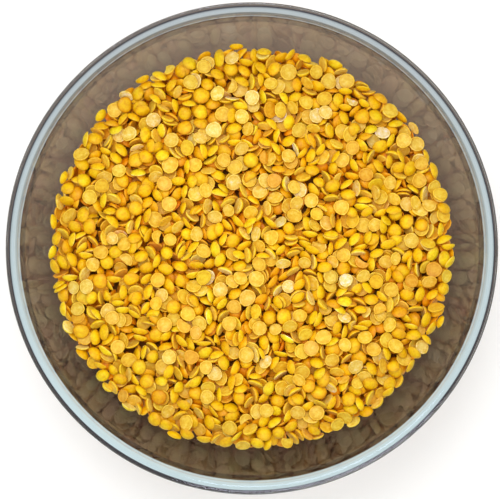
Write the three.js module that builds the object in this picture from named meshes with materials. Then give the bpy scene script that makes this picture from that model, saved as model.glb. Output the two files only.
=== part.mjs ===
// A round clear glass bowl, two thirds full of split yellow lentils.
//
// Millimetres, +Z up, origin at the middle of the ring that the bowl stands on.
// The bowl is a turned solid with a thick lip that slopes inwards. The lentils are one solid that
// fills it: its top is relief, one low disc for each lentil, laid in rings that grow by six lentils
// at a time, and its side and underside follow the inside of the glass.

import * as THREE from "three";

// Bowl
const BOWL_RADIUS = 85;
const BOWL_HEIGHT = 78;
const RIM_WIDTH = 4.5; // across the lip where the wall would reach its top
const RIM_HEIGHT = 6.7; // of the lip's outer side, over its level underside
const RIM_EDGE = 0.5; // from the lip's outer side in to its highest line
const RIM_INNER_HEIGHT = 4.6; // that the lip's top falls, towards the inside
const RIM_LEDGE = 0.4; // level step where the lip's top meets the wall
const RIM_STEP = 0.05; // that the underside rises outwards
const FLOOR_RADIUS = 30; // flat part of the floor, inside
const FLOOR_THICKNESS = 6;
const WALL_THICKNESS = 3.4; // just under the lip
const WALL_SWEEP = THREE.MathUtils.degToRad(72); // part of the quarter ellipse that the wall follows
const FOOT_RADIUS = 33; // where the underside leaves the table
const FOOT_RING_WIDTH = 6;
const FOOT_RECESS = 1.2; // how far the middle of the underside is raised
const BOWL_SIDES = 60;
const WALL_STEPS = 5;
const RIM_OUTER_STEPS = 2;
const RIM_INNER_STEPS = 3;

// Lentils
const FILL_HEIGHT = 50.5; // level of the lentils where they meet the glass
const MOUND = 3.5; // how much higher they lie in the middle
const UNEVENNESS = 0.8; // slow rise and fall of the surface
const GLASS_GAP = 0.4; // between the lentils' solid and the glass
const LENTIL_RADIUS = 2.7;
const LENTIL_SPREAD = 0.35; // how much a lentil's radius varies
const LENTIL_THICKNESS = 2.2;
const LENTIL_RINGS = 13; // rings of lentils round the one in the middle
const LOOSENESS = 0.62; // how far lentils stray from their even places, in lentils
const LOOSENESS_AT_GLASS = 0.2;
const HEIGHT_SPREAD = 1.1; // between the lowest and the highest lentil near each other
const DOMED_SHARE = 0.45; // lentils that lie with their round back up
const DOME_RISE = 0.8; // of a round back over its edge
const GENTLE_LEAN = 0.22; // steepest slope of most lentils
const STEEP_SHARE = 0.24; // lentils that lean steeply on their neighbours
const STEEP_LEAN = [0.35, 0.65]; // least and most slope of those
const STEEP_LIFT = 0.7; // how much higher they lie
const GROOVE_DEPTH = [1.2, 2.0]; // least and most depth between lentils
const GROOVE_WIDTH = 0.13; // least share of a lentil's place that is groove
const EDGE_HEIGHT = 0.25; // least height of a lentil's edge over the groove
const SIDE_COLUMNS = 84; // about one corner for each lentil along the glass
const SIDE_ROWS = 9;
const SIDE_RELIEF = 0.8; // how far lentils along the glass stand back from it
const SEED = 20;

const DIRECTIONS = 6; // a lentil in a ring has six neighbours
const NEIGHBOURS = [
  [1, 0],
  [0, 1],
  [-1, 1],
  [-1, 0],
  [0, -1],
  [1, -1],
];

// The same row of random numbers from 0 to 1 each time (mulberry32).
function seededRandom(seed) {
  let state = seed >>> 0;
  return () => {
    state = (state + 0x6d2b79f5) >>> 0;
    let t = state;
    t = Math.imul(t ^ (t >>> 15), t | 1);
    t ^= t + Math.imul(t ^ (t >>> 7), t | 61);
    return ((t ^ (t >>> 14)) >>> 0) / 4294967296;
  };
}

// The inside of the bowl is a flat floor and, tangent to it, part of an ellipse up to the rim.
const wallReach = (BOWL_RADIUS - RIM_WIDTH - FLOOR_RADIUS) / Math.sin(WALL_SWEEP);
const wallRise = (BOWL_HEIGHT - FLOOR_THICKNESS) / (1 - Math.cos(WALL_SWEEP));

function insidePoint(turn) {
  return new THREE.Vector2(
    FLOOR_RADIUS + wallReach * Math.sin(turn),
    FLOOR_THICKNESS + wallRise * (1 - Math.cos(turn)),
  );
}

const insidePoints = [];
for (let i = 0; i <= WALL_STEPS; i++) insidePoints.push(insidePoint((WALL_SWEEP * i) / WALL_STEPS));

// Radius of the inside at a height.
function insideRadius(z) {
  const above = Math.max(1, insidePoints.findIndex((point) => point.y >= z));
  const upper = insidePoints[above];
  const lower = insidePoints[above - 1];
  return THREE.MathUtils.mapLinear(z, lower.y, upper.y, lower.x, upper.x);
}

// The outside follows the inside at the wall's thickness, which grows towards the floor.
function outsidePoint(turn) {
  const inside = insidePoint(turn);
  const outward = new THREE.Vector2(
    wallRise * Math.sin(turn),
    -wallReach * Math.cos(turn),
  ).normalize();
  const low = 1 - turn / WALL_SWEEP;
  const thickness = THREE.MathUtils.lerp(WALL_THICKNESS, FLOOR_THICKNESS, low * low);
  return inside.addScaledVector(outward, thickness);
}

// Points of a quarter ellipse round a centre, from one turn to another.
function arc(centre, width, height, from, to, steps) {
  const points = [];
  for (let i = 0; i <= steps; i++) {
    const turn = THREE.MathUtils.lerp(from, to, i / steps);
    const out = new THREE.Vector2(width * Math.cos(turn), height * Math.sin(turn));
    points.push(out.add(centre));
  }
  return points;
}

function bowlProfile() {
  const points = [
    new THREE.Vector2(0, FOOT_RECESS),
    new THREE.Vector2(FOOT_RADIUS - FOOT_RING_WIDTH - FOOT_RECESS, FOOT_RECESS),
    new THREE.Vector2(FOOT_RADIUS - FOOT_RING_WIDTH, 0),
    new THREE.Vector2(FOOT_RADIUS, 0),
  ];
  // Up the outside, from the foot to the lip's level underside.
  const underside = BOWL_HEIGHT - RIM_HEIGHT;
  for (let i = 1; i < WALL_STEPS; i++) points.push(outsidePoint((WALL_SWEEP * i) / WALL_STEPS));
  points.push(new THREE.Vector2(insideRadius(underside) + WALL_THICKNESS, underside - RIM_STEP));
  // Round the lip.
  const quarter = Math.PI / 2;
  const crown = BOWL_RADIUS - RIM_EDGE;
  const outerCentre = new THREE.Vector2(crown, underside);
  points.push(...arc(outerCentre, RIM_EDGE, RIM_HEIGHT, 0, quarter, RIM_OUTER_STEPS));
  const ledge = BOWL_HEIGHT - RIM_INNER_HEIGHT;
  const innerCentre = new THREE.Vector2(crown, ledge);
  const innerWidth = crown - insideRadius(ledge) - RIM_LEDGE;
  points.push(
    ...arc(innerCentre, innerWidth, RIM_INNER_HEIGHT, quarter, 2 * quarter, RIM_INNER_STEPS).slice(1),
  );
  // Down the inside to the floor.
  points.push(new THREE.Vector2(insideRadius(ledge - RIM_LEDGE), ledge - RIM_LEDGE));
  points.push(...insidePoints.slice(0, -1).reverse());
  points.push(new THREE.Vector2(0, FLOOR_THICKNESS));
  return points;
}

function makeBowl() {
  const geometry = new THREE.LatheGeometry(bowlProfile(), BOWL_SIDES);
  geometry.rotateX(Math.PI / 2); // a lathe turns about +Y
  const glass = new THREE.MeshStandardMaterial({
    color: 0xd9ecef,
    roughness: 0.03,
    metalness: 0,
    transparent: true,
    opacity: 0.35,
  });
  const bowl = new THREE.Mesh(geometry, glass);
  bowl.name = "bowl";
  return bowl;
}

// Height of the middle of the lentils' surface at a place.
function surfaceHeight(x, y) {
  const share = Math.hypot(x, y) / insideRadius(FILL_HEIGHT);
  const mound = MOUND * (1 - Math.min(1, share) ** 2);
  const waves = Math.sin(x * 0.11 + 0.6) * Math.cos(y * 0.09 - 0.4);
  return FILL_HEIGHT + mound + UNEVENNESS * waves * (1 - Math.min(1, share) ** 4);
}

const key = (q, r) => q + "," + r;

// Places of the lentils: ring k is a hexagon of the lattice bent into a circle, with 6k lentils.
function lentilPlaces(edgeRadius, random) {
  const pitch = edgeRadius / (LENTIL_RINGS + 0.5);
  const places = new Map([[key(0, 0), { q: 0, r: 0, ring: 0, x: 0, y: 0 }]]);
  for (let ring = 1; ring <= LENTIL_RINGS + 1; ring++) {
    const loose = ring < LENTIL_RINGS ? LOOSENESS : LOOSENESS_AT_GLASS;
    for (let corner = 0; corner < DIRECTIONS; corner++) {
      const [startQ, startR] = NEIGHBOURS[corner];
      const [stepQ, stepR] = NEIGHBOURS[(corner + 2) % DIRECTIONS];
      for (let i = 0; i < ring; i++) {
        const q = ring * startQ + i * stepQ;
        const r = ring * startR + i * stepR;
        const evenTurn = (2 * Math.PI * (corner * ring + i)) / (DIRECTIONS * ring);
        const turn = evenTurn + (1.2 * loose * (random() - 0.5)) / ring;
        const out = (ring + loose * (random() - 0.5)) * pitch;
        places.set(key(q, r), {
          q,
          r,
          ring,
          x: out * Math.cos(turn),
          y: out * Math.sin(turn),
        });
      }
    }
  }
  return places;
}

// Collects shared corners and faces, and gives them back as one closed geometry.
class Surface {
  constructor() {
    this.corners = [];
    this.faces = [];
  }
  corner(x, y, z) {
    this.corners.push(x, y, z);
    return this.corners.length / 3 - 1;
  }
  face(a, b, c) {
    this.faces.push(a, b, c);
  }
  angle(i) {
    return Math.atan2(this.corners[3 * i + 1], this.corners[3 * i]);
  }
  // Joins two closed loops of corners that run the same way round, the first one above the second.
  zip(upper, lower) {
    const startOf = (loop) =>
      loop.reduce((best, corner, i) => (this.angle(corner) < this.angle(loop[best]) ? i : best), 0);
    const from = [startOf(upper), startOf(lower)];
    const at = (loop, start, i) => loop[(start + i) % loop.length];
    const turnAt = (loop, start, i) =>
      this.angle(at(loop, start, i)) + 2 * Math.PI * Math.floor(i / loop.length);
    let u = 0;
    let l = 0;
    while (u < upper.length || l < lower.length) {
      const nextUpper = u < upper.length ? turnAt(upper, from[0], u + 1) : Infinity;
      const nextLower = l < lower.length ? turnAt(lower, from[1], l + 1) : Infinity;
      const a = at(upper, from[0], u);
      const b = at(lower, from[1], l);
      if (nextUpper < nextLower) this.face(a, b, at(upper, from[0], ++u));
      else this.face(a, b, at(lower, from[1], ++l));
    }
  }
  geometry() {
    const geometry = new THREE.BufferGeometry();
    geometry.setAttribute("position", new THREE.Float32BufferAttribute(this.corners, 3));
    geometry.setIndex(this.faces);
    geometry.computeVertexNormals();
    return geometry;
  }
}

// One lentil: a six-sided disc, flat or domed, that leans a little, over the groove round it.
function addLentil(surface, place, groove, random) {
  const steep = random() < STEEP_SHARE;
  const domed = random() < DOMED_SHARE;
  const lean = steep ? THREE.MathUtils.lerp(...STEEP_LEAN, random()) : GENTLE_LEAN * random();
  const towards = 2 * Math.PI * random();
  const radius = LENTIL_RADIUS + LENTIL_SPREAD * (2 * random() - 1);
  const lift = steep ? STEEP_LIFT : HEIGHT_SPREAD * (random() - 0.5);
  const height = surfaceHeight(place.x, place.y) + lift;
  const leanX = lean * Math.cos(towards);
  const leanY = lean * Math.sin(towards);
  const edge = groove.map((g) => {
    const dx = surface.corners[3 * g] - place.x;
    const dy = surface.corners[3 * g + 1] - place.y;
    const reach = Math.hypot(dx, dy);
    const share = Math.min(radius / reach, 1 - GROOVE_WIDTH);
    const z = height + (leanX * dx + leanY * dy) * share;
    const lowest = surface.corners[3 * g + 2] + EDGE_HEIGHT;
    return surface.corner(place.x + dx * share, place.y + dy * share, Math.max(z, lowest));
  });
  for (let j = 0; j < DIRECTIONS; j++) {
    const next = (j + 1) % DIRECTIONS;
    surface.face(edge[j], groove[j], groove[next]);
    surface.face(edge[j], groove[next], edge[next]);
  }
  if (domed) {
    const middle = surface.corner(place.x, place.y, height + DOME_RISE);
    for (let j = 0; j < DIRECTIONS; j++) surface.face(middle, edge[j], edge[(j + 1) % DIRECTIONS]);
  } else {
    for (let j = 1; j < DIRECTIONS - 1; j++) surface.face(edge[0], edge[j], edge[j + 1]);
  }
}

// The side and underside: rows of corners that follow the glass, down to the middle of the floor.
function addSide(surface, rim, random) {
  const inset = GLASS_GAP / Math.cos(Math.PI / BOWL_SIDES);
  let above = rim;
  const top = FILL_HEIGHT - 2 * LENTIL_THICKNESS;
  const bottom = FLOOR_THICKNESS + GLASS_GAP;
  const turnAt = (z) => Math.acos(1 - (z - FLOOR_THICKNESS) / wallRise);
  for (let row = 0; row < SIDE_ROWS; row++) {
    const turn = THREE.MathUtils.lerp(turnAt(top), turnAt(bottom), row / (SIDE_ROWS - 1));
    const height = insidePoint(turn).y + 0.1;
    const loop = [];
    for (let i = 0; i < SIDE_COLUMNS; i++) {
      const around = (2 * Math.PI * (i + 0.5 * (row % 2))) / SIDE_COLUMNS - Math.PI;
      const sunk = row === SIDE_ROWS - 1 ? 0 : SIDE_RELIEF * random();
      const out = insideRadius(height) * Math.cos(Math.PI / BOWL_SIDES) - inset - sunk;
      loop.push(surface.corner(out * Math.cos(around), out * Math.sin(around), height));
    }
    surface.zip(above, loop);
    above = loop;
  }
  const middle = surface.corner(0, 0, bottom);
  above.forEach((corner, i) => surface.face(corner, middle, above[(i + 1) % above.length]));
}

function makeLentils() {
  const random = seededRandom(SEED);
  const surface = new Surface();
  const edgeRadius =
    insideRadius(FILL_HEIGHT - LENTIL_THICKNESS) * Math.cos(Math.PI / BOWL_SIDES) - GLASS_GAP;
  const places = lentilPlaces(edgeRadius, random);
  const grooves = new Map();

  // The groove's corners lie between three neighbouring lentils, and on the rim along the glass.
  const grooveCorner = (place, j) => {
    const around = [
      place,
      ...[j, (j + 1) % DIRECTIONS].map((d) =>
        places.get(key(place.q + NEIGHBOURS[d][0], place.r + NEIGHBOURS[d][1])),
      ),
    ];
    const name = around.map((p) => key(p.q, p.r)).sort().join(" ");
    if (!grooves.has(name)) {
      let x = around.reduce((sum, p) => sum + p.x, 0) / 3;
      let y = around.reduce((sum, p) => sum + p.y, 0) / 3;
      const atGlass = around.some((p) => p.ring > LENTIL_RINGS);
      if (atGlass) {
        const stretch = edgeRadius / Math.hypot(x, y);
        x *= stretch;
        y *= stretch;
      }
      const depth = atGlass ? LENTIL_THICKNESS : THREE.MathUtils.lerp(...GROOVE_DEPTH, random());
      grooves.set(name, surface.corner(x, y, surfaceHeight(x, y) - depth));
    }
    return grooves.get(name);
  };

  const nextOnRim = new Map();
  for (const place of places.values()) {
    if (place.ring > LENTIL_RINGS) continue;
    const groove = NEIGHBOURS.map((_, j) => grooveCorner(place, j));
    addLentil(surface, place, groove, random);
    NEIGHBOURS.forEach(([dq, dr], d) => {
      const neighbour = places.get(key(place.q + dq, place.r + dr));
      const before = (d + DIRECTIONS - 1) % DIRECTIONS;
      if (neighbour.ring > LENTIL_RINGS) nextOnRim.set(groove[before], groove[d]);
    });
  }

  const rim = [nextOnRim.keys().next().value];
  while (nextOnRim.get(rim.at(-1)) !== rim[0]) rim.push(nextOnRim.get(rim.at(-1)));
  addSide(surface, rim, random);

  const yellow = new THREE.MeshStandardMaterial({ color: 0xe0a62c, roughness: 0.55, metalness: 0 });
  const lentils = new THREE.Mesh(surface.geometry(), yellow);
  lentils.name = "lentils";
  return lentils;
}

const dish = new THREE.Group();
dish.add(makeBowl(), makeLentils());

export default dish;
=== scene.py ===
"""A round clear glass bowl, two thirds full of split yellow lentils.

Shapes are worked out in millimetres, z up from the table, and put into the meshes in metres.
"""

import math
from types import SimpleNamespace

import bmesh
import bpy
import numpy as np
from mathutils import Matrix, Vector


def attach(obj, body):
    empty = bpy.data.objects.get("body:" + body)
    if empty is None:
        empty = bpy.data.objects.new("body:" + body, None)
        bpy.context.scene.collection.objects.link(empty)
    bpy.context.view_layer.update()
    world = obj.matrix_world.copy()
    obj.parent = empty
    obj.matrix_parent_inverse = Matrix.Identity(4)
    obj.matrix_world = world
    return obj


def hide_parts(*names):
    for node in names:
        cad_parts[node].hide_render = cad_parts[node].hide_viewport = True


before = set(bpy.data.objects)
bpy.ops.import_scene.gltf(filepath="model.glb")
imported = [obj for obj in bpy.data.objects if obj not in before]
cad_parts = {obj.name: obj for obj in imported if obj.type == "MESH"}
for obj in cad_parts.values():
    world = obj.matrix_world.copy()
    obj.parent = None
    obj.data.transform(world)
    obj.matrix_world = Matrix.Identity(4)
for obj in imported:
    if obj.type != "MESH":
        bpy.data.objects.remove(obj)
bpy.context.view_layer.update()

MM = 0.001
MERGE_DISTANCE = 1e-4  # in metres

# Bowl
BOWL_RADIUS = 85.0
BOWL_HEIGHT = 78.0
BOWL_SIDES = 192
FLOOR_RADIUS = 30.0
FLOOR_THICKNESS = 6.0
WALL_THICKNESS = 3.4
WALL_SWEEP = math.radians(63.1)
WALL_STEPS = 28
STEPS_UNDER_FOOT = 2  # steps of the outside that the foot ring takes the place of

# Rim
RIM_WIDTH = 3.4
RIM_HEIGHT = 5.2
RIM_EDGE = 0.5  # how far the rim's highest line is from its outer edge
RIM_CORNER = 0.55  # rounding between its underside and its outer side
RIM_INNER_HEIGHT = 4.7
RIM_LEDGE = 0.55
RIM_STEP = 1.4
RIM_DROP = 0.05  # how much lower the underside is than the rounding
UNDERSIDE_END = (0.02, 0.03)  # how far short of the rounding it ends, and how much higher
GAP_OUTSIDE = 0.3  # least height between the wall's last point and the rim, outside
GAP_INSIDE = 0.25  # and inside
CORNER_STEPS = 4
EDGE_STEPS = 14
TOP_STEPS = 18

# Foot ring. Its edges are points outwards from its inner and outer radius, and their heights.
FOOT_RADIUS = 33.0
FOOT_RING_WIDTH = 6.0
FOOT_RECESS = 1.2
FOOT_INNER_EDGE = [(-2.5, FOOT_RECESS), (-0.8, 0.5), (0.3, 0.05), (1.2, 0.0)]
FOOT_OUTER_EDGE = [(-1.2, 0.0), (-0.2, 0.12)]

# Heap
FILL_HEIGHT = 50.5
MOUND = 3.5
UNEVENNESS = 0.8
WAVES_ALONG_X = (0.11, 0.6)  # waves of its surface: radians for a millimetre, and at the middle
WAVES_ALONG_Y = (0.09, -0.4)

# Filling the bowl
SEED = 20
CELL = 0.4  # grid that the heights of the heap are kept on
GRID_RADIUS = 84.0
CELLS_ROUND = 8  # cells that a lentil may reach over, on each side of its middle
SUPPORT_RADIUS = 2.5  # round a place, what its slope is taken from
MOST_OVER_MIDDLE = 3.0  # heights count as no more than this over the middling one there
TRIES = 18  # places tried for each lentil, and again as many small moves at the best
NEAR_TOP = -5.0  # above this height from the level, three times as many are tried
DEEP_DOWN = -12.0  # and below this one a third as many
SHIFT_CELLS = 2  # small moves
LEAN_CHANGE = 0.12
TOP_MARGIN = 2.0  # height over the level whose radius the places lie within
MOST_MISSES = 120  # lentils in a row that find no place before the bowl is full
MOST_LENTILS = 30000
SINK = 0.12  # how far a lentil settles into those below
STEEP_SINK = 0.9  # and how much further one that stands on its edge does
TOP_LEVEL = -0.3  # how high lentils' middles may lie over the level they are filled to
STEEP_LEVEL = 0.7  # and how much lower those of lentils that stand
MIDDLE_DEPTH = 0.4  # where a split lentil's middle is, as a share of its thickness
FLAT_UP_SHARE = 0.52
# Slopes at which lentils lie on what is below: the share of the lentils, least and most slope
LEANS = [(0.34, 0.05, 0.5), (0.26, 0.5, 1.2), (0.40, 1.4, 4.0)]

# Which lentils are kept
SHOWN_UNDER_TOP = 7.5  # how deep below the heap's surface
SHOWN_AT_GLASS = 4.5  # how far from the glass
SHOWN_AT_FLOOR = 4.0  # and how far from its floor
SLOPE_MARGIN = 0.15  # added to the share of the distance that is square to the wall
LEAST_SLOPE_SHARE = 0.2

# Lentils
HALF, THIN, WHOLE, CHIP = range(4)
LENTIL_RADIUS = 2.7
RADIUS_MEAN = 1.03
RADIUS_SPREAD = 0.06
RADIUS_RANGE = (0.87, 1.18)
OVAL_SPREAD = 0.06
KINDS_UP_TO = [(0.80, HALF), (0.93, THIN), (0.955, WHOLE), (1.0, CHIP)]
THICKNESS = {HALF: (0.48, 0.7), THIN: (0.34, 0.48), WHOLE: (0.8, 0.95), CHIP: (0.42, 0.6)}
WHOLE_LENGTH = 1.02  # a whole lentil's half length and half height, to its half width
WHOLE_HEIGHT = 0.9
SIDES = 12
OUT_OF_ROUND = [(2, 0.03), (3, 0.028), (5, 0.016)]  # waves round the edge, and their share
DISH_DEPTH = 0.34
BEND = 0.05
BACK_SHIFT = 0.12  # how far off the middle the round back is
CHIP_PLACE = (-0.1, 0.55)  # where a chipped lentil ends, as shares of the radius
CHIP_WAVES = 3
CHIP_WAVE_HEIGHT = 0.25
FIRST_DEAL = 0.34  # draws that deal the split lentils out over three pieces
SECOND_DEAL = 0.67

# Where things are in a row of numbers that describes a lentil
PLACE = slice(0, 3)
NORMAL = slice(3, 6)
ALONG = slice(6, 9)
ACROSS = slice(9, 12)
SIZE = slice(12, 15)
KIND = 15

# Core under the lentils
CORE_OVER_FLOOR = 3.0
CORE_UNDER_LEVEL = 7.0
CORE_INSET = 3.2
CORE_LAG = 2.0  # how far down the glass its radius is taken from
CORE_SHOULDER = (40.0, 5.5)  # radius, and depth under the level
CORE_UNDER_TOP = 6.5
CORE_STEPS = 10
CORE_SIDES = 64

# Looks
GLASS_COLOUR = (0.955, 0.983, 0.99, 1)
GLASS_SHINE = (0.61, 0.61, 0.73, 1)
SKIN_COLOUR = (0.87, 0.578, 0.002, 1)
SPLIT_FACE_COLOUR = (0.875, 0.632, 0.066, 1)
# painted shade: the core is drawn dark amber, as lentils deep in the heap's shade
CORE_SHADE_COLOUR = (0.30, 0.11, 0.01, 1)
# Share of the lentils, and what their colour is multiplied by
TINTS = [
    (0.61, (1.0, 1.0, 1.0)),
    (0.14, (0.98, 0.9, 0.7)),
    (0.03, (0.94, 0.74, 0.6)),
    (0.14, (1.03, 1.1, 2.2)),
    (0.06, (1.04, 1.2, 4.0)),
    (0.02, (1.04, 1.3, 7.0)),
]
BRIGHT_SPREAD = 0.03
GREEN_SPREAD = 0.6  # of the spread in brightness
BLUE_SPREAD = 0.25
OWN_TINT_RANGE = (0.3, 2.0)
DEEP_FROM = 2.2  # painted shade: depth at which lentils start to be drawn darker and redder, and over which they get so
DEEP_OVER = 2.8
DEEP_LOSS = np.array([0.0, 0.38, 0.9])
EDGE_LOSS = np.array([0.0, 0.28, 0.9])  # at edges that are in their neighbours' shade
LEVEL_GAIN = 1.6  # how fast a lentil counts as lying level
LEVEL_START = 0.6
STANDING_PAINTED_LIGHT = 0.10  # painted light: how much paler the lentils that stand on edge are drawn, to lift the shade on their steep faces
# painted reflection: hue, saturation and value of the lentils where the glass reflects them
REFLECTED_HUE = 0.487
REFLECTED_SATURATION = 0.67
REFLECTED_VALUE = 0.9

# Stage, in metres
FLOOR_SIZE = 3.0
FLOOR_DROP = 0.0002
FLOOR_COLOUR = (0.96, 0.98, 1.0, 1)
# Painted shadow and light that the glass shows of the floor, at distances from the bowl's middle:
# painted shadow round and under the bowl, less dark at the back, where the key light is, and
# painted light in pale bluish rings further out
FLOOR_IN_GLASS_FRONT = [
    (0.064, (0.70, 0.70, 0.68)),
    (0.069, (0.20, 0.22, 0.20)),
    (0.074, (0.004, 0.002, 0.0)),
    (0.090, (0.008, 0.005, 0.002)),
    (0.102, (0.012, 0.018, 0.030)),
    (0.108, (0.55, 0.69, 0.74)),
    (0.125, (0.55, 0.69, 0.74)),
    (0.165, (0.27, 0.30, 0.30)),
]
FLOOR_IN_GLASS_BACK = [
    (0.064, (0.70, 0.70, 0.68)),
    (0.069, (0.20, 0.20, 0.19)),
    (0.0745, (0.07, 0.07, 0.065)),
    (0.0775, (0.19, 0.154, 0.125)),
    (0.090, (0.22, 0.177, 0.145)),
    (0.093, (0.01, 0.01, 0.01)),
    (0.109, (0.06, 0.06, 0.07)),
    (0.112, (0.42, 0.48, 0.52)),
    (0.1145, (0.42, 0.48, 0.52)),
    (0.117, (0.17, 0.19, 0.19)),
    (0.135, (0.12, 0.14, 0.14)),
]
FLOOR_RAMP_LENGTH = 0.2
FRONT_TO_BACK = 0.09  # how far each way from the middle the front gives way to the back
SKY_COLOUR = (1.0, 0.97, 0.93, 1)
SKY_STRENGTH = 1.07
KEY_PLACE = (-0.12, 0.4, 1.3)
KEY_SIZE = 0.5
KEY_POWER = 4.5

# Camera, straight above
PICTURE_WIDTH_PX = 500
PICTURE_HEIGHT_PX = 499
RIM_RADIUS_PX = 246.0
BOWL_CENTRE_PX = (251.9, 248.5)
RIM_LEVEL = 75.0
CAMERA_ABOVE_RIM = 650.0
SENSOR_WIDTH = 36.0


# ---------------------------------------------------------------- the inside of the bowl

wall_reach = (BOWL_RADIUS - RIM_WIDTH - FLOOR_RADIUS) / math.sin(WALL_SWEEP)
wall_rise = (BOWL_HEIGHT - FLOOR_THICKNESS) / (1 - math.cos(WALL_SWEEP))


def inside_point(turn):
    """Radius and height of the inside, from turn 0 at the floor to WALL_SWEEP at the rim."""
    return (
        FLOOR_RADIUS + wall_reach * math.sin(turn),
        FLOOR_THICKNESS + wall_rise * (1 - math.cos(turn)),
    )


def inside_radius(z):
    share = np.clip((np.asarray(z, float) - FLOOR_THICKNESS) / wall_rise, 0, 1)
    return FLOOR_RADIUS + wall_reach * np.sin(np.arccos(1 - share))


def inside_height(r):
    """Height of the inside at a radius; very high beyond the rim."""
    almost_upright = 0.999
    very_high = 1000.0
    share = (np.asarray(r, float) - FLOOR_RADIUS) / wall_reach
    z = FLOOR_THICKNESS + wall_rise * (1 - np.sqrt(1 - np.clip(share, 0, almost_upright) ** 2))
    return np.where(share > math.sin(WALL_SWEEP), very_high, z)


def outside_point(turn):
    """Radius and height of the outside, square to the inside's point at the same turn."""
    r, z = inside_point(turn)
    out = Vector((wall_rise * math.sin(turn), -wall_reach * math.cos(turn))).normalized()
    low = 1 - turn / WALL_SWEEP
    thickness = WALL_THICKNESS + (FLOOR_THICKNESS - WALL_THICKNESS) * low * low
    return r + out.x * thickness, z + out.y * thickness


def surface_height(x, y):
    """Level that the lentils are filled to."""
    share = np.minimum(1, np.hypot(x, y) / float(inside_radius(FILL_HEIGHT)))
    along_x = np.sin(x * WAVES_ALONG_X[0] + WAVES_ALONG_X[1])
    along_y = np.cos(y * WAVES_ALONG_Y[0] + WAVES_ALONG_Y[1])
    waves = along_x * along_y
    return FILL_HEIGHT + MOUND * (1 - share**2) + UNEVENNESS * waves * (1 - share**4)


# ---------------------------------------------------------------- making meshes


def put_in_scene(name, mesh, material, node):
    piece = bpy.data.objects.new(name, mesh)
    bpy.context.scene.collection.objects.link(piece)
    mesh.materials.append(material)
    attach(piece, "root")
    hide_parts(node)


def mesh_from(name, bm):
    mesh = bpy.data.meshes.new(name)
    bm.to_mesh(mesh)
    bm.free()
    return mesh


def turned(profile, sides):
    """A bmesh of a profile of (radius, height) turned about z, with its ends on the axis closed."""
    bm = bmesh.new()
    points = [bm.verts.new((r * MM, 0, z * MM)) for r, z in profile]
    edges = [bm.edges.new(pair) for pair in zip(points, points[1:])]
    bmesh.ops.spin(
        bm,
        geom=points + edges,
        cent=(0, 0, 0),
        axis=(0, 0, 1),
        angle=2 * math.pi,
        steps=sides,
        use_merge=True,
    )
    bmesh.ops.remove_doubles(bm, verts=bm.verts, dist=MERGE_DISTANCE)
    bmesh.ops.recalc_face_normals(bm, faces=bm.faces)
    return bm


# ---------------------------------------------------------------- glass bowl


def arc(centre, radii, start, end, steps):
    """Points of an elliptic arc, angles in degrees."""
    turns = [math.radians(start + (end - start) * i / steps) for i in range(steps + 1)]
    return [
        (centre[0] + radii[0] * math.cos(t), centre[1] + radii[1] * math.sin(t)) for t in turns
    ]


def foot_outline():
    """From the middle of the underside to the foot ring's outer edge."""
    inner = FOOT_RADIUS - FOOT_RING_WIDTH
    points = [(0, FOOT_RECESS)]
    points += [(inner + out, z) for out, z in FOOT_INNER_EDGE]
    points += [(FOOT_RADIUS + out, z) for out, z in FOOT_OUTER_EDGE]
    return points


def rim_outline():
    """A level underside, a steep outer side, and a top that falls away inwards."""
    under = BOWL_HEIGHT - RIM_HEIGHT - RIM_DROP
    corner = BOWL_RADIUS - RIM_CORNER
    base = BOWL_HEIGHT - RIM_HEIGHT + RIM_CORNER
    crown = BOWL_RADIUS - RIM_EDGE
    ledge = BOWL_HEIGHT - RIM_INNER_HEIGHT
    width = crown - float(inside_radius(ledge)) - RIM_LEDGE
    points = [(BOWL_RADIUS - RIM_STEP, under)]
    points.append((corner - UNDERSIDE_END[0], under + UNDERSIDE_END[1]))
    points += arc((corner, base), (RIM_CORNER, RIM_CORNER), -80, -10, CORNER_STEPS)
    points += arc((crown, base), (RIM_EDGE, BOWL_HEIGHT - base), 0, 90, EDGE_STEPS)
    points += arc((crown, ledge), (width, RIM_INNER_HEIGHT), 90, 180, TOP_STEPS)[1:]
    return points


def bowl_outline():
    """Once round the glass, from the axis underneath to the axis inside."""
    turns = [WALL_SWEEP * i / WALL_STEPS for i in range(WALL_STEPS + 1)]
    rim = rim_outline()
    under = rim[0][1]
    ledge = BOWL_HEIGHT - RIM_INNER_HEIGHT
    outside = [outside_point(turn) for turn in turns[STEPS_UNDER_FOOT:]]
    inside = [inside_point(turn) for turn in reversed(turns[:-1])]
    points = foot_outline()
    points += [(r, z) for r, z in outside if z < under - GAP_OUTSIDE]
    points += rim
    points += [(r, z) for r, z in inside if z < ledge - GAP_INSIDE]
    points.append((0, FLOOR_THICKNESS))
    return points


def make_bowl(material):
    bm = turned(bowl_outline(), BOWL_SIDES)
    for face in bm.faces:
        face.smooth = True
    put_in_scene("glass_bowl", mesh_from("glass_bowl", bm), material, "bowl")


# ---------------------------------------------------------------- filling the bowl


def lentil_kind(rng):
    """Kind, half sizes and where the flat face cuts it, of one more lentil."""
    pick = rng.random()
    radius = LENTIL_RADIUS * float(np.clip(rng.normal(RADIUS_MEAN, RADIUS_SPREAD), *RADIUS_RANGE))
    oval = 1 + abs(rng.normal(0, OVAL_SPREAD))
    kind = next(kind for limit, kind in KINDS_UP_TO if pick < limit)
    thickness = radius * rng.uniform(*THICKNESS[kind])
    if kind == WHOLE:
        return kind, (thickness * WHOLE_LENGTH, thickness, thickness * WHOLE_HEIGHT), thickness
    return kind, (radius * math.sqrt(oval), radius / math.sqrt(oval), thickness), 0.0


def directions_across(normal, spin):
    """Two directions across each normal, turned by spin."""
    almost_upright = 0.9
    upright = np.abs(normal[:, 2:3]) > almost_upright
    helper = np.where(upright, [[1.0, 0, 0]], [[0, 0, 1.0]])
    first = np.cross(helper, normal)
    first /= np.linalg.norm(first, axis=1, keepdims=True)
    second = np.cross(normal, first)
    c, s = np.cos(spin)[:, None], np.sin(spin)[:, None]
    return c * first + s * second, c * second - s * first


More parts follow.
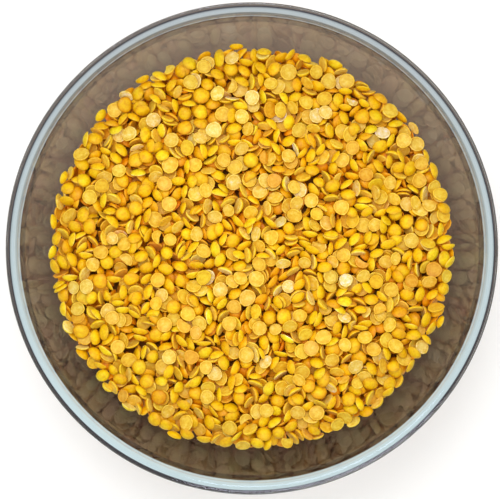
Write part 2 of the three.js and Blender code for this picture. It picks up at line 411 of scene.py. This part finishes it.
def span_over(along, across, normal, size, cut, x, y):
    """Lowest and highest point of each lentil above the places x, y round its middle."""
    axes = [along / size[:, 0:1], across / size[:, 1:2], normal / size[:, 2:3]]

    def product(i, j):
        return sum(axis[:, i] * axis[:, j] for axis in axes)[:, None, None]

    a = product(2, 2)
    b = product(0, 2) * x + product(1, 2) * y
    c = product(0, 0) * x * x + 2 * product(0, 1) * x * y + product(1, 1) * y * y - 1
    inside = b * b - a * c
    root = np.sqrt(np.maximum(inside, 0))
    low, high = (-b - root) / a, (-b + root) / a
    n = normal[:, :, None, None]
    almost_level = 1e-3
    nz = np.where(np.abs(n[:, 2]) < almost_level, almost_level, n[:, 2])
    flat = (cut[:, None, None] - n[:, 0] * x - n[:, 1] * y) / nz
    high = np.where(nz > 0, np.minimum(high, flat), high)
    low = np.where(nz < 0, np.maximum(low, flat), low)
    empty = (inside <= 0) | (low > high)
    return np.where(empty, np.inf, low), np.where(empty, -np.inf, high)


class Heap:
    """Heights of the glass and of the lentils on it so far, on a square grid of cells."""

    def __init__(self):
        self.half = int(GRID_RADIUS / CELL)
        line = np.arange(-self.half, self.half + 1) * CELL
        self.heights = inside_height(np.hypot(*np.meshgrid(line, line)))
        self.near = np.arange(-CELLS_ROUND, CELLS_ROUND + 1)
        self.x, self.y = np.meshgrid(self.near * CELL, self.near * CELL)
        weight = (np.hypot(self.x, self.y) < SUPPORT_RADIUS).astype(float)
        self.weight = weight / weight.sum()
        self.spread = (self.weight * self.x * self.x).sum()

    def slope(self, level, way):
        """Mean slope of the ground along x or y at each place."""
        return np.clip((level * way * self.weight).sum((1, 2)) / self.spread, -1, 1)

    def settle(self, ix, iy, lean_x, lean_y, spin, lentil):
        """The best of these places for a lentil, and how it comes to rest there."""
        kind, size, cut, flip = lentil
        rows = (iy + self.half)[:, None, None] + self.near[None, :, None]
        cols = (ix + self.half)[:, None, None] + self.near[None, None, :]
        patch = self.heights[rows, cols]
        middling = np.median(patch, axis=(1, 2))[:, None, None]
        level = np.minimum(patch, middling + MOST_OVER_MIDDLE)
        slope_x = self.slope(level, self.x)
        slope_y = self.slope(level, self.y)
        normal = np.stack([-slope_x - lean_x, -slope_y - lean_y, np.ones(len(ix))], 1)
        normal *= flip / np.linalg.norm(normal, axis=1, keepdims=True)
        along, across = directions_across(normal, spin)
        sizes = np.repeat([size], len(ix), 0)
        cuts = np.full(len(ix), cut)
        low, high = span_over(along, across, normal, sizes, cuts, self.x, self.y)
        stands = 1 - np.abs(normal[:, 2])
        rest = (patch - low).max((1, 2)) - SINK - STEEP_SINK * stands
        middle = rest - np.where(kind == WHOLE, 0, normal[:, 2] * size[2] * MIDDLE_DEPTH)
        x, y = ix * CELL, iy * CELL
        over = middle + STEEP_LEVEL * stands - surface_height(x, y)
        best = int(np.argmin(over))
        return SimpleNamespace(
            ix=ix[best],
            iy=iy[best],
            lean=(lean_x[best], lean_y[best]),
            spin=spin[best],
            over=over[best],
            place=(x[best], y[best], rest[best]),
            axes=(*normal[best], *along[best], *across[best]),
            cells=(rows[best], cols[best]),
            top=rest[best] + high[best],
        )

    def find_place(self, rng, lentil, tries, cells):
        """A low place for the lentil: the lowest of these cells, or of small moves round it."""
        _, least, most = LEANS[rng.choice(len(LEANS), p=[share for share, _, _ in LEANS])]
        lean = rng.uniform(least, most)
        towards = rng.random(tries) * 2 * math.pi
        first = self.settle(
            *cells,
            lean * np.cos(towards),
            lean * np.sin(towards),
            rng.random(tries) * 2 * math.pi,
            lentil,
        )
        again = self.settle(
            first.ix + rng.integers(-SHIFT_CELLS, SHIFT_CELLS + 1, tries),
            first.iy + rng.integers(-SHIFT_CELLS, SHIFT_CELLS + 1, tries),
            first.lean[0] + rng.normal(0, LEAN_CHANGE, tries),
            first.lean[1] + rng.normal(0, LEAN_CHANGE, tries),
            np.full(tries, first.spin),
            lentil,
        )
        return again if again.over < first.over else first

    def add(self, found):
        self.heights[found.cells] = np.maximum(self.heights[found.cells], found.top)


def tries_after(over):
    """Places to try for the next lentil: fewer deep down, where it will be hidden."""
    if over > NEAR_TOP:
        return TRIES * 3
    if over > DEEP_DOWN:
        return TRIES
    return TRIES // 3


def fill_bowl(rng):
    """Drops lentils one by one on the lowest of a few places, until the bowl is full."""
    heap = Heap()
    top_radius = float(inside_radius(FILL_HEIGHT + TOP_MARGIN))
    lentils = []
    misses = 0
    tries = TRIES
    while misses < MOST_MISSES and len(lentils) < MOST_LENTILS:
        r = top_radius * np.sqrt(rng.random(tries))
        t = rng.random(tries) * 2 * math.pi
        cells = (
            np.rint(r * np.cos(t) / CELL).astype(int),
            np.rint(r * np.sin(t) / CELL).astype(int),
        )
        lentil = (*lentil_kind(rng), 1.0 if rng.random() < FLAT_UP_SHARE else -1.0)
        found = heap.find_place(rng, lentil, tries, cells)
        tries = tries_after(found.over)
        if found.over > TOP_LEVEL:
            misses += 1
            continue
        misses = 0
        heap.add(found)
        lentils.append((*found.place, *found.axes, *lentil[1], lentil[0]))
    return np.array(lentils)


def can_be_seen(rows):
    """True for lentils near enough to the heap's surface, the wall or the floor of the bowl."""
    x, y, z = rows[:, PLACE].T
    depth = surface_height(x, y) - z
    level_share = 1 - np.clip((z - FLOOR_THICKNESS) / wall_rise, 0, 1)
    slope_share = np.clip(np.sqrt(1 - level_share**2) + SLOPE_MARGIN, LEAST_SLOPE_SHARE, 1)
    from_glass = (inside_radius(z) - np.hypot(x, y)) * slope_share
    from_floor = z - FLOOR_THICKNESS
    at_glass = (from_glass < SHOWN_AT_GLASS) | (from_floor < SHOWN_AT_FLOOR)
    return (depth < SHOWN_UNDER_TOP) | at_glass


# ---------------------------------------------------------------- lentils' shapes


def shape(profile, sides=SIDES):
    """Turned shape as one array for each column of its profile."""
    names = ("radius", "dish", "dome", "flat", "light", "warm")
    columns = {name: np.array(column, float) for name, column in zip(names, zip(*profile))}
    return SimpleNamespace(**columns, sides=sides)


# radius, depth of the dished face, depth of the round back, share of the split face's colour,
# painted light and shade as lightness (a lighter rim and top, darker edges and dish ring), and how
# much warmer and darker a painted shade makes it
SPLIT = shape(
    [
        (0.0, 1.0, 0.0, 1.0, 1.0, 0.0),
        (0.55, 0.9, 0.0, 1.0, 0.97, 0.2),
        (0.83, 0.3, 0.0, 1.0, 0.88, 0.6),
        (0.92, 0.0, 0.0, 0.95, 1.16, 0.0),
        (1.0, 0.0, 0.15, 0.3, 0.75, 0.8),
        (0.93, 0.0, 0.36, 0.0, 0.86, 1.0),
        (0.76, 0.0, 0.63, 0.0, 0.98, 0.5),
        (0.38, 0.0, 0.92, 0.0, 1.03, 0.1),
        (0.0, 0.0, 1.0, 0.0, 1.06, 0.0),
    ]
)
ROUND = shape(
    [
        (0.0, 0.0, -1.0, 0.0, 1.05, 0.0),
        (0.6, 0.0, -0.82, 0.0, 1.0, 0.2),
        (0.93, 0.0, -0.42, 0.0, 0.97, 0.6),
        (0.995, 0.0, -0.07, 0.0, 0.97, 0.6),
        (0.95, 0.0, 0.0, 0.3, 0.7, 1.0),
        (0.995, 0.0, 0.07, 0.0, 0.97, 0.6),
        (0.93, 0.0, 0.42, 0.0, 0.97, 0.6),
        (0.6, 0.0, 0.82, 0.0, 1.0, 0.2),
        (0.0, 0.0, 1.0, 0.0, 1.05, 0.0),
    ]
)


def faces_of(form):
    """Triangles of a turned shape with one point at each end."""
    rings = len(form.radius) - 2
    around = np.arange(form.sides)
    ring = [1 + i * form.sides + around for i in range(rings)]
    turn = [1 + i * form.sides + (around + 1) % form.sides for i in range(rings)]
    first = np.zeros(form.sides, int)
    last = np.full(form.sides, 1 + rings * form.sides)
    faces = [np.stack([first, ring[0], turn[0]], 1)]
    for i in range(rings - 1):
        faces.append(np.stack([ring[i], ring[i + 1], turn[i + 1]], 1))
        faces.append(np.stack([ring[i], turn[i + 1], turn[i]], 1))
    faces.append(np.stack([ring[-1], last, turn[-1]], 1))
    return np.concatenate(faces)


def rings_of(form):
    """Ring that each point of a turned shape is on, and its angle there."""
    ends = len(form.radius) - 1
    spin = 2 * math.pi * np.arange(form.sides) / form.sides
    ring = np.concatenate([[0], np.repeat(np.arange(1, ends), form.sides), [ends]])
    angle = np.concatenate([[0], np.tile(spin, ends - 1), [0]])
    return ring, angle


def points_of(form, rows, rng):
    """Points of every lentil in rows, in millimetres, each a little out of true."""
    count = len(rows)
    ring, angle = rings_of(form)
    radius, dish, dome = form.radius[ring], form.dish[ring], form.dome[ring]
    size = rows[:, SIZE]

    def amount(spread):
        return rng.normal(0, spread, (count, 1))

    def phase():
        return rng.random((count, 1)) * 2 * math.pi

    wobble = 1
    for waves, height in OUT_OF_ROUND:
        wobble = wobble + amount(height) * np.cos(waves * angle + phase())
    u = size[:, 0:1] * radius * wobble * np.cos(angle)
    v = size[:, 1:2] * radius * wobble * np.sin(angle)
    w = -dish * rng.uniform(0.0, DISH_DEPTH, (count, 1)) - dome * size[:, 2:3]
    w = w + amount(BEND) * ((u / LENTIL_RADIUS) ** 2 - radius**2 / 2)
    u = u + dome * amount(BACK_SHIFT)
    v = v + dome * amount(BACK_SHIFT)
    chipped = rows[:, KIND, None] == CHIP
    limit = LENTIL_RADIUS * rng.uniform(*CHIP_PLACE, (count, 1))
    limit = limit + CHIP_WAVE_HEIGHT * np.sin(CHIP_WAVES * v / LENTIL_RADIUS + phase())
    u = np.where(chipped, np.minimum(u, limit), u)
    place, normal, along, across = (rows[:, None, part] for part in (PLACE, NORMAL, ALONG, ACROSS))
    return place + u[..., None] * along + v[..., None] * across + w[..., None] * normal


def tones_of(form, rows, tint):
    """Colour that each point's own is multiplied by, and its share of the split face's colour.

    Where a lentil lies level its edges are in the shade of its neighbours, painted as darker,
    redder edges, and its rim and top get painted highlights. Where it stands they are what faces
    up, and the whole lentil is painted paler, as painted light on its steep faces.
    """
    ring, _ = rings_of(form)
    upright = np.abs(rows[:, NORMAL][:, 2])
    level = np.clip(upright * LEVEL_GAIN - LEVEL_START, 0, 1)[:, None, None]
    # painted highlights and painted shade from the profile's lightness, only where the lentil lies
    # level
    light = 1 + level * (form.light[ring] - 1)[None, :, None]
    warm = level * form.warm[ring][None, :, None] * EDGE_LOSS
    # painted light: lentils that stand on edge are drawn paler
    paler = 1 + STANDING_PAINTED_LIGHT * (1 - level)
    flat = np.tile(form.flat[ring][None, :, None], (len(rows), 1, 1))
    return np.concatenate([tint[:, None, :] * paler * light * (1 - warm), flat], 2)


def tints_of(rows, rng):
    """A colour for each lentil: its own, less what it loses by how deep it lies.

    Lentils further down get less light, and it is redder for having passed others: this is painted
    shade, darker and redder with depth.
    """
    count = len(rows)
    chosen = rng.choice(len(TINTS), count, p=[share for share, _ in TINTS])
    base = np.array([colour for _, colour in TINTS])[chosen]
    bright = 1 + rng.normal(0, BRIGHT_SPREAD, (count, 1))
    green = 1 + rng.normal(0, BRIGHT_SPREAD * GREEN_SPREAD, count)
    blue = 1 + rng.normal(0, BLUE_SPREAD, count)
    own = base * bright * np.clip(np.stack([np.ones(count), green, blue], 1), *OWN_TINT_RANGE)
    x, y, z = rows[:, PLACE].T
    under = surface_height(x, y) - z
    # painted shade: deeper lentils are drawn darker and redder
    return own * (1 - np.clip((under - DEEP_FROM) / DEEP_OVER, 0, 1)[:, None] * DEEP_LOSS)


def make_lentils(name, form, rows, material, rng):
    """One mesh of all these lentils."""
    tints = tints_of(rows, rng)
    points = points_of(form, rows, rng)
    count, each = points.shape[:2]
    faces = faces_of(form)
    faces = (faces[None] + each * np.arange(count)[:, None, None]).reshape(-1, 3)
    mesh = bpy.data.meshes.new(name)
    mesh.vertices.add(count * each)
    mesh.vertices.foreach_set("co", (points.reshape(-1) * MM).astype(np.float32))
    mesh.loops.add(faces.size)
    mesh.loops.foreach_set("vertex_index", faces.reshape(-1).astype(np.int32))
    mesh.polygons.add(len(faces))
    mesh.polygons.foreach_set("loop_start", np.arange(0, faces.size, 3, dtype=np.int32))
    mesh.update(calc_edges=True)
    mesh.shade_smooth()
    layer = mesh.attributes.new("tone", "FLOAT_COLOR", "POINT")
    layer.data.foreach_set("color", tones_of(form, rows, tints).reshape(-1).astype(np.float32))
    put_in_scene(name, mesh, material, "lentils")


def make_all_lentils(rows, material, rng):
    """The kinds one by one, with the split lentils dealt out over three pieces."""
    kind = rows[:, KIND]
    deal = rng.random(len(rows))
    split = kind == HALF
    groups = [
        ("split_lentils_a", split & (deal < FIRST_DEAL), SPLIT),
        ("split_lentils_b", split & (deal >= FIRST_DEAL) & (deal < SECOND_DEAL), SPLIT),
        ("split_lentils_c", split & (deal >= SECOND_DEAL), SPLIT),
        ("thin_lentils", kind == THIN, SPLIT),
        ("whole_lentils", kind == WHOLE, ROUND),
        ("chipped_lentils", kind == CHIP, SPLIT),
    ]
    for name, chosen, form in groups:
        make_lentils(name, form, rows[chosen], material, rng)


def make_core(material):
    """Plain body that fills the heap where no lentils are kept."""
    bottom = FLOOR_THICKNESS + CORE_OVER_FLOOR
    side = FILL_HEIGHT - CORE_UNDER_LEVEL - bottom
    outline = [(0, bottom)]
    for i in range(CORE_STEPS + 1):
        z = bottom + side * i / CORE_STEPS
        outline.append((float(inside_radius(z - CORE_LAG)) - CORE_INSET, z))
    outline.append((CORE_SHOULDER[0], FILL_HEIGHT - CORE_SHOULDER[1]))
    outline.append((0, FILL_HEIGHT + MOUND - CORE_UNDER_TOP))
    mesh = mesh_from("lentils_below", turned(outline, CORE_SIDES))
    put_in_scene("lentils_below", mesh, material, "lentils")


# ---------------------------------------------------------------- materials


def new_material(name):
    material = bpy.data.materials.new(name)
    material.use_nodes = True
    return material, material.node_tree.nodes, material.node_tree.links


def colour_mix(nodes, way="MIX"):
    mix = nodes.new("ShaderNodeMix")
    mix.data_type = "RGBA"
    mix.blend_type = way
    return mix


def glass_material():
    material, nodes, _ = new_material("clear_glass")
    shader = nodes["Principled BSDF"]
    shader.inputs["Base Color"].default_value = GLASS_COLOUR
    shader.inputs["Specular Tint"].default_value = GLASS_SHINE
    shader.inputs["Roughness"].default_value = 0.0
    shader.inputs["IOR"].default_value = 1.5
    shader.inputs["Transmission Weight"].default_value = 1.0
    return material


def new_group(name, inputs, outputs):
    group = bpy.data.node_groups.new(name, "ShaderNodeTree")
    for label, kind in inputs:
        group.interface.new_socket(label, in_out="INPUT", socket_type=kind)
    for label, kind in outputs:
        group.interface.new_socket(label, in_out="OUTPUT", socket_type=kind)
    return group, group.nodes.new("NodeGroupInput"), group.nodes.new("NodeGroupOutput")


def lentil_colour_group():
    """Colour and fine relief of lentils, from the colours of their round and split sides."""
    group, start, end = new_group(
        "lentil_colour",
        [
            ("Skin", "NodeSocketColor"),
            ("Split Face", "NodeSocketColor"),
            ("Tint", "NodeSocketColor"),
            ("Split Share", "NodeSocketFloat"),
        ],
        [("Colour", "NodeSocketColor"), ("Height", "NodeSocketFloat")],
    )
    nodes, links = group.nodes, group.links
    place = nodes.new("ShaderNodeTexCoord")
    patches = nodes.new("ShaderNodeTexNoise")
    patches.inputs["Scale"].default_value = 650
    patches.inputs["Detail"].default_value = 4
    patches.inputs["Roughness"].default_value = 0.7
    links.new(place.outputs["Object"], patches.inputs["Vector"])
    grain = nodes.new("ShaderNodeTexNoise")
    grain.inputs["Scale"].default_value = 1600
    grain.inputs["Detail"].default_value = 2
    links.new(place.outputs["Object"], grain.inputs["Vector"])

    side = colour_mix(nodes)
    links.new(start.outputs["Skin"], side.inputs["A"])
    links.new(start.outputs["Split Face"], side.inputs["B"])
    links.new(start.outputs["Split Share"], side.inputs["Factor"])
    tinted = colour_mix(nodes, "MULTIPLY")
    tinted.inputs["Factor"].default_value = 1.0
    links.new(side.outputs["Result"], tinted.inputs["A"])
    links.new(start.outputs["Tint"], tinted.inputs["B"])

    shades = nodes.new("ShaderNodeValToRGB")
    darker, plain = shades.color_ramp.elements
    darker.position = 0.36
    darker.color = (0.88, 0.73, 0.32, 1)
    plain.position = 0.55
    plain.color = (1.0, 1.0, 1.0, 1)
    paler = shades.color_ramp.elements.new(0.7)
    paler.color = (1.03, 1.10, 3.0, 1)
    links.new(patches.outputs["Fac"], shades.inputs["Fac"])
    mottled = colour_mix(nodes, "MULTIPLY")
    mottled.inputs["Factor"].default_value = 1.0
    links.new(tinted.outputs["Result"], mottled.inputs["A"])
    links.new(shades.outputs["Color"], mottled.inputs["B"])
    links.new(mottled.outputs["Result"], end.inputs["Colour"])
    links.new(grain.outputs["Fac"], end.inputs["Height"])
    return group


def lentil_material():
    material, nodes, links = new_material("golden_lentils")
    shader = nodes["Principled BSDF"]
    shader.inputs["Roughness"].default_value = 0.42
    shader.inputs["Specular IOR Level"].default_value = 0.3
    tone = nodes.new("ShaderNodeAttribute")
    tone.attribute_name = "tone"
    colour = nodes.new("ShaderNodeGroup")
    colour.node_tree = lentil_colour_group()
    colour.inputs["Skin"].default_value = SKIN_COLOUR
    colour.inputs["Split Face"].default_value = SPLIT_FACE_COLOUR
    links.new(tone.outputs["Color"], colour.inputs["Tint"])
    links.new(tone.outputs["Alpha"], colour.inputs["Split Share"])

    # Painted reflection: where the glass reflects the lentils, they are drawn greyer and darker
    # than they are.
    light = nodes.new("ShaderNodeLightPath")
    reflected = nodes.new("ShaderNodeMath")
    reflected.operation = "MINIMUM"
    reflected.inputs[1].default_value = 1.0
    links.new(light.outputs["Glossy Depth"], reflected.inputs[0])
    dull = nodes.new("ShaderNodeHueSaturation")
    dull.inputs["Hue"].default_value = REFLECTED_HUE
    dull.inputs["Saturation"].default_value = REFLECTED_SATURATION
    dull.inputs["Value"].default_value = REFLECTED_VALUE
    links.new(reflected.outputs["Value"], dull.inputs["Fac"])
    links.new(colour.outputs["Colour"], dull.inputs["Color"])
    links.new(dull.outputs["Color"], shader.inputs["Base Color"])

    bump = nodes.new("ShaderNodeBump")
    bump.inputs["Strength"].default_value = 0.5
    bump.inputs["Distance"].default_value = 0.00012
    links.new(colour.outputs["Height"], bump.inputs["Height"])
    links.new(bump.outputs["Normal"], shader.inputs["Normal"])
    return material


def core_material():
    material, nodes, _ = new_material("lentils_below")
    # painted shade: dark amber for the lentils deep in the heap
    nodes["Principled BSDF"].inputs["Base Color"].default_value = CORE_SHADE_COLOUR
    nodes["Principled BSDF"].inputs["Roughness"].default_value = 0.8
    return material


def floor_material():
    """Pale to the eye; in the glass it is darker round the bowl, so that the bowl's edges show."""
    material, nodes, links = new_material("pale_floor")
    shader = nodes["Principled BSDF"]
    shader.inputs["Roughness"].default_value = 1.0
    shader.inputs["Specular IOR Level"].default_value = 0.0
    place = nodes.new("ShaderNodeTexCoord")
    distance = nodes.new("ShaderNodeVectorMath")
    distance.operation = "LENGTH"
    links.new(place.outputs["Object"], distance.inputs[0])
    share = nodes.new("ShaderNodeMapRange")
    share.inputs["From Max"].default_value = FLOOR_RAMP_LENGTH
    links.new(distance.outputs["Value"], share.inputs["Value"])

    def ramp(stops):
        colours = nodes.new("ShaderNodeValToRGB")
        elements = colours.color_ramp.elements
        while len(elements) < len(stops):
            elements.new(1.0)
        for element, (metres, colour) in zip(elements, stops):
            element.position = metres / FLOOR_RAMP_LENGTH
            element.color = (*colour, 1)
        links.new(share.outputs["Result"], colours.inputs["Fac"])
        return colours.outputs["Color"]

    parts = nodes.new("ShaderNodeSeparateXYZ")
    links.new(place.outputs["Object"], parts.inputs["Vector"])
    back = nodes.new("ShaderNodeMapRange")
    back.inputs["From Min"].default_value = -FRONT_TO_BACK
    back.inputs["From Max"].default_value = FRONT_TO_BACK
    links.new(parts.outputs["Y"], back.inputs["Value"])
    # painted shadow and light seen in the glass: dark round and under the bowl, less dark at the
    # back, with pale bluish rings further out
    glass = colour_mix(nodes)
    links.new(ramp(FLOOR_IN_GLASS_FRONT), glass.inputs["A"])
    links.new(ramp(FLOOR_IN_GLASS_BACK), glass.inputs["B"])
    links.new(back.outputs["Result"], glass.inputs["Factor"])

    light = nodes.new("ShaderNodeLightPath")
    plain = nodes.new("ShaderNodeMath")
    plain.operation = "MAXIMUM"
    plain.use_clamp = True
    links.new(light.outputs["Is Camera Ray"], plain.inputs[0])
    links.new(light.outputs["Diffuse Depth"], plain.inputs[1])
    mix = colour_mix(nodes)
    mix.inputs["B"].default_value = FLOOR_COLOUR
    links.new(glass.outputs["Result"], mix.inputs["A"])
    links.new(plain.outputs["Value"], mix.inputs["Factor"])
    links.new(mix.outputs["Result"], shader.inputs["Base Color"])
    return material


# ---------------------------------------------------------------- floor, light, camera


def make_floor(material):
    bm = bmesh.new()
    bmesh.ops.create_grid(bm, x_segments=1, y_segments=1, size=FLOOR_SIZE)
    floor = bpy.data.objects.new("floor", mesh_from("floor", bm))
    bpy.context.scene.collection.objects.link(floor)
    floor.location.z = -FLOOR_DROP
    floor.data.materials.append(material)


def make_key_light():
    data = bpy.data.lights.new("key", "AREA")
    data.shape = "DISK"
    data.size = KEY_SIZE
    data.energy = KEY_POWER
    light = bpy.data.objects.new("key", data)
    bpy.context.scene.collection.objects.link(light)
    light.location = KEY_PLACE
    light.rotation_euler = (-Vector(KEY_PLACE)).to_track_quat("-Z", "Y").to_euler()


def make_sky():
    world = bpy.data.worlds.new("studio")
    world.use_nodes = True
    background = world.node_tree.nodes["Background"]
    background.inputs["Color"].default_value = SKY_COLOUR
    background.inputs["Strength"].default_value = SKY_STRENGTH
    bpy.context.scene.world = world


def make_camera():
    """Straight above, where the rim has its place and size in the picture."""
    px_per_mm = RIM_RADIUS_PX / BOWL_RADIUS
    data = bpy.data.cameras.new("camera")
    data.sensor_width = SENSOR_WIDTH
    data.lens = SENSOR_WIDTH * CAMERA_ABOVE_RIM / (PICTURE_WIDTH_PX / px_per_mm)
    camera = bpy.data.objects.new("camera", data)
    camera.location = (
        -(BOWL_CENTRE_PX[0] - PICTURE_WIDTH_PX / 2) / px_per_mm * MM,
        (BOWL_CENTRE_PX[1] - PICTURE_HEIGHT_PX / 2) / px_per_mm * MM,
        (RIM_LEVEL + CAMERA_ABOVE_RIM) * MM,
    )
    bpy.context.scene.collection.objects.link(camera)
    bpy.context.scene.camera = camera


# ---------------------------------------------------------------- put together

rng = np.random.default_rng(SEED)
lentils = fill_bowl(rng)
make_bowl(glass_material())
make_all_lentils(lentils[can_be_seen(lentils)], lentil_material(), rng)
make_core(core_material())
make_floor(floor_material())
make_key_light()
make_sky()
make_camera()
bpy.context.scene.view_settings.view_transform = "Standard"
